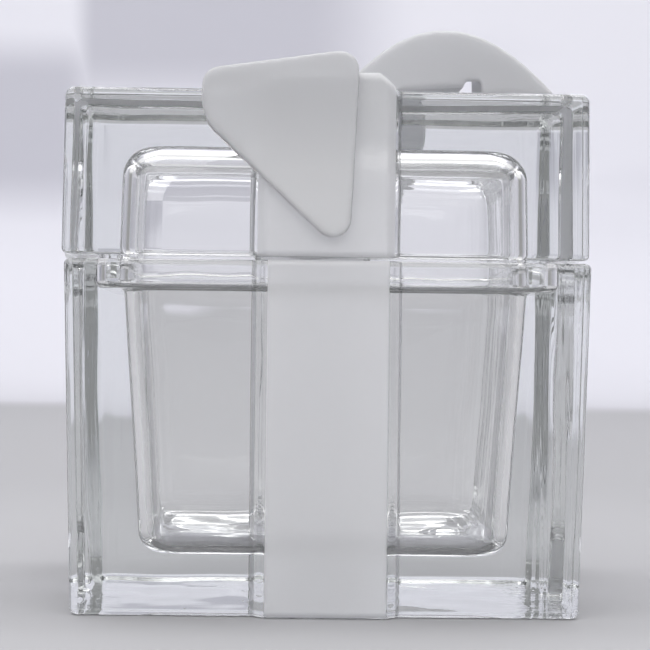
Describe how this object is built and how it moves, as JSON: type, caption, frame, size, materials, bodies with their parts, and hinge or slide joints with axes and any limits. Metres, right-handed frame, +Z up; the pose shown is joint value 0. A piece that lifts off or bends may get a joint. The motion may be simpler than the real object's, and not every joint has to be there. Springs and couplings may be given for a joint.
{
  "type": "lidded glass dappen dish",
  "caption": "Thick-walled square glass jar with a lift-off lid, shaped like a wrapped present, with raised frosted ribbon bands and a frosted glass bow on the lid.",
  "frame": {"origin": "middle of the flat face that the jar stands on", "axes": "+Z up through the lid, -Y towards the front face, where one bow tail hangs over the lid's edge, +X to the right, where the bow's loop stands"},
  "size_m": [0.063, 0.0656, 0.0699],
  "materials": {
    "clear_glass": "pressed, fire-polished, clear, ribbon bands frosted",
    "frosted_glass": "acid-frosted, satin"
  },
  "bodies": {
    "box": {"base_box": "clear_glass"},
    "lid": {"lid": "clear_glass", "bow_knot": "frosted_glass", "bow_loop": "frosted_glass", "bow_front_tail": "frosted_glass", "bow_back_tail": "frosted_glass"}
  },
  "joints": [
    {"name": "lid_lift", "type": "slide", "parent": "box", "child": "lid", "axis": [0, 0, 1], "range_m": [0, 0.03]}
  ]
}
